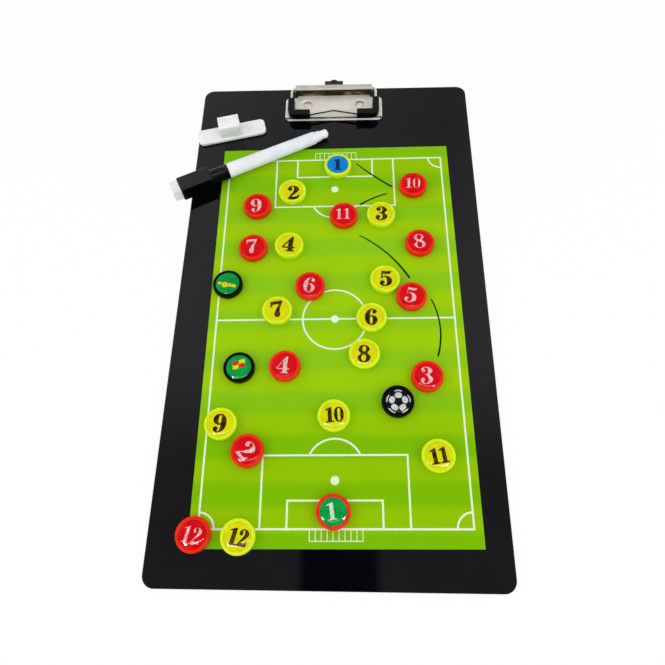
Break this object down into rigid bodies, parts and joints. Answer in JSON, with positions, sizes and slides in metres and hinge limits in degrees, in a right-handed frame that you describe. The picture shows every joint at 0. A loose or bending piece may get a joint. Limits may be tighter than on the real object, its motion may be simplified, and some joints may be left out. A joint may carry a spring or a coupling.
{
  "type": "tactics board",
  "caption": "Clipboard-style football tactics board with a printed pitch, sliding magnetic counters, a sprung wire clip, a capped marker pen and a loose pen holder.",
  "frame": {"origin": "centre of the board's flat back face", "axes": "+Z out of the printed face, +Y along the board towards the clip, +X to the right of someone who reads the board with the clip at the top"},
  "size_m": [0.2441, 0.4062, 0.0177],
  "materials": {
    "board_plastic": "glossy black with a soft sheen",
    "sheet_steel": "bare rolled sheet, hidden in the board",
    "pitch_film": "glossy dry-wipe film, printed in green bands with white lines",
    "nickel_plate": "bright nickel plate on pressed steel",
    "nickel_wire": "bright nickel plate on round wire",
    "spring_steel": "drawn spring wire",
    "dark_steel": "blackened steel strip",
    "rivet_metal": "plain pressed rivets and washers",
    "grip_rubber": "matte black moulded rubber",
    "pen_white": "smooth white moulding",
    "pen_black": "smooth black moulding",
    "eraser_felt": "dense pale felt",
    "ink_felt": "bonded fibre soaked with ink",
    "holder_white": "satin white moulding",
    "holder_foam": "white foam tape",
    "red_plastic": "glossy red cup with a printed label",
    "yellow_plastic": "glossy yellow cup with a printed label",
    "black_plastic": "glossy black cup with a printed label"
  },
  "bodies": {
    "board": {"back_board": "board_plastic", "steel_sheet": "sheet_steel", "face_sheet": "board_plastic", "pitch_print": "pitch_film", "clip_base_plate": "nickel_plate", "clip_hang_tab": "dark_steel", "clip_hinge_rod": "nickel_wire", "clip_torsion_spring": "spring_steel", "clip_rivets": "rivet_metal", "clip_rivet_washers": "rivet_metal"},
    "clip_jaw": {"clip_lever": "nickel_plate", "clip_wire_bail": "nickel_wire", "clip_grip_left": "grip_rubber", "clip_grip_right": "grip_rubber"},
    "pen": {"pen_barrel": "pen_white", "pen_end_plug": "pen_white", "pen_nib": "ink_felt", "pen_nib_holder": "pen_black", "pen_ink_reservoir": "ink_felt"},
    "pen_cap": {"pen_cap": "pen_black", "pen_eraser_felt": "eraser_felt"},
    "pen_holder": {"pen_holder": "holder_white", "pen_holder_pad": "holder_foam"},
    "red_magnet_01": {"red_magnet_01": "red_plastic"},
    "red_magnet_02": {"red_magnet_02": "red_plastic"},
    "red_magnet_03": {"red_magnet_03": "red_plastic"},
    "red_magnet_04": {"red_magnet_04": "red_plastic"},
    "red_magnet_05": {"red_magnet_05": "red_plastic"},
    "red_magnet_06": {"red_magnet_06": "red_plastic"},
    "red_magnet_07": {"red_magnet_07": "red_plastic"},
    "red_magnet_08": {"red_magnet_08": "red_plastic"},
    "red_magnet_09": {"red_magnet_09": "red_plastic"},
    "red_magnet_10": {"red_magnet_10": "red_plastic"},
    "red_magnet_11": {"red_magnet_11": "red_plastic"},
    "red_magnet_12": {"red_magnet_12": "red_plastic"},
    "yellow_magnet_01": {"yellow_magnet_01": "yellow_plastic"},
    "yellow_magnet_02": {"yellow_magnet_02": "yellow_plastic"},
    "yellow_magnet_03": {"yellow_magnet_03": "yellow_plastic"},
    "yellow_magnet_04": {"yellow_magnet_04": "yellow_plastic"},
    "yellow_magnet_05": {"yellow_magnet_05": "yellow_plastic"},
    "yellow_magnet_06": {"yellow_magnet_06": "yellow_plastic"},
    "yellow_magnet_07": {"yellow_magnet_07": "yellow_plastic"},
    "yellow_magnet_08": {"yellow_magnet_08": "yellow_plastic"},
    "yellow_magnet_09": {"yellow_magnet_09": "yellow_plastic"},
    "yellow_magnet_10": {"yellow_magnet_10": "yellow_plastic"},
    "yellow_magnet_11": {"yellow_magnet_11": "yellow_plastic"},
    "yellow_magnet_12": {"yellow_magnet_12": "yellow_plastic"},
    "black_magnet_whistle": {"black_magnet_whistle": "black_plastic"},
    "black_magnet_flag": {"black_magnet_flag": "black_plastic"},
    "black_magnet_ball": {"black_magnet_ball": "black_plastic"}
  },
  "joints": [
    {"name": "clip_jaw_hinge", "type": "hinge", "parent": "board", "child": "clip_jaw", "pos_m": [0, 0.1932, 0.008], "axis": [-1, 0, 0], "range_deg": [0, 38], "stiffness_Nm_per_rad": 0.3, "springref_deg": -28.65, "deforming": ["clip_torsion_spring"]},
    {"name": "pen_lift", "type": "slide", "parent": "board", "child": "pen", "axis": [0, 0, 1], "range_m": [0, 0.06]},
    {"name": "pen_cap_pull", "type": "slide", "parent": "pen", "child": "pen_cap", "axis": [-0.8971, -0.4414, 0.0181], "range_m": [0, 0.045]},
    {"name": "pen_holder_lift", "type": "slide", "parent": "board", "child": "pen_holder", "axis": [0, 0, 1], "range_m": [0, 0.04]},
    {"name": "red_magnet_01_slide", "type": "slide", "parent": "board", "child": "red_magnet_01", "axis": [1, 0, 0], "range_m": [-0.03, 0.03]},
    {"name": "red_magnet_02_slide", "type": "slide", "parent": "board", "child": "red_magnet_02", "axis": [0, 1, 0], "range_m": [-0.014, 0.004]},
    {"name": "red_magnet_03_slide", "type": "slide", "parent": "board", "child": "red_magnet_03", "axis": [1, 0, 0], "range_m": [-0.002, 0.03]},
    {"name": "red_magnet_04_slide", "type": "slide", "parent": "board", "child": "red_magnet_04", "axis": [0, 1, 0], "range_m": [-0.03, 0.018]},
    {"name": "red_magnet_05_slide", "type": "slide", "parent": "board", "child": "red_magnet_05", "axis": [1, 0, 0], "range_m": [0, 0.03]},
    {"name": "red_magnet_06_slide", "type": "slide", "parent": "board", "child": "red_magnet_06", "axis": [1, 0, 0], "range_m": [-0.006, 0.03]},
    {"name": "red_magnet_07_slide", "type": "slide", "parent": "board", "child": "red_magnet_07", "axis": [1, 0, 0], "range_m": [-0.03, 0.002]},
    {"name": "red_magnet_08_slide", "type": "slide", "parent": "board", "child": "red_magnet_08", "axis": [0, 1, 0], "range_m": [-0.02, 0.028]},
    {"name": "red_magnet_09_slide", "type": "slide", "parent": "board", "child": "red_magnet_09", "axis": [0, 1, 0], "range_m": [-0.014, 0.022]},
    {"name": "red_magnet_10_slide", "type": "slide", "parent": "board", "child": "red_magnet_10", "axis": [1, 0, 0], "range_m": [-0.01, 0.03]},
    {"name": "red_magnet_11_slide", "type": "slide", "parent": "board", "child": "red_magnet_11", "axis": [0, 1, 0], "range_m": [-0.03, 0.012]},
    {"name": "red_magnet_12_slide", "type": "slide", "parent": "board", "child": "red_magnet_12", "axis": [0, 1, 0], "range_m": [-0.018, 0.03]},
    {"name": "yellow_magnet_01_slide", "type": "slide", "parent": "board", "child": "yellow_magnet_01", "axis": [0, 1, 0], "range_m": [-0.012, 0.014]},
    {"name": "yellow_magnet_02_slide", "type": "slide", "parent": "board", "child": "yellow_magnet_02", "axis": [0, 1, 0], "range_m": [-0.026, 0.02]},
    {"name": "yellow_magnet_03_slide", "type": "slide", "parent": "board", "child": "yellow_magnet_03", "axis": [0, 1, 0], "range_m": [-0.016, 0.01]},
    {"name": "yellow_magnet_04_slide", "type": "slide", "parent": "board", "child": "yellow_magnet_04", "axis": [1, 0, 0], "range_m": [-0.002, 0.018]},
    {"name": "yellow_magnet_05_slide", "type": "slide", "parent": "board", "child": "yellow_magnet_05", "axis": [0, 1, 0], "range_m": [0, 0.016]},
    {"name": "yellow_magnet_06_slide", "type": "slide", "parent": "board", "child": "yellow_magnet_06", "axis": [1, 0, 0], "range_m": [-0.03, 0.012]},
    {"name": "yellow_magnet_07_slide", "type": "slide", "parent": "board", "child": "yellow_magnet_07", "axis": [1, 0, 0], "range_m": [-0.014, 0.004]},
    {"name": "yellow_magnet_08_slide", "type": "slide", "parent": "board", "child": "yellow_magnet_08", "axis": [0, 1, 0], "range_m": [-0.012, 0.004]},
    {"name": "yellow_magnet_09_slide", "type": "slide", "parent": "board", "child": "yellow_magnet_09", "axis": [1, 0, 0], "range_m": [-0.028, 0]},
    {"name": "yellow_magnet_10_slide", "type": "slide", "parent": "board", "child": "yellow_magnet_10", "axis": [0, 1, 0], "range_m": [-0.03, 0.02]},
    {"name": "yellow_magnet_11_slide", "type": "slide", "parent": "board", "child": "yellow_magnet_11", "axis": [0, 1, 0], "range_m": [-0.03, 0.03]},
    {"name": "yellow_magnet_12_slide", "type": "slide", "parent": "board", "child": "yellow_magnet_12", "axis": [0, 1, 0], "range_m": [-0.016, 0.014]},
    {"name": "black_magnet_whistle_slide", "type": "slide", "parent": "board", "child": "black_magnet_whistle", "axis": [1, 0, 0], "range_m": [-0.024, 0.014]},
    {"name": "black_magnet_flag_slide", "type": "slide", "parent": "board", "child": "black_magnet_flag", "axis": [0, 1, 0], "range_m": [-0.018, 0.022]},
    {"name": "black_magnet_ball_slide", "type": "slide", "parent": "board", "child": "black_magnet_ball", "axis": [1, 0, 0], "range_m": [-0.014, 0.002]}
  ]
}
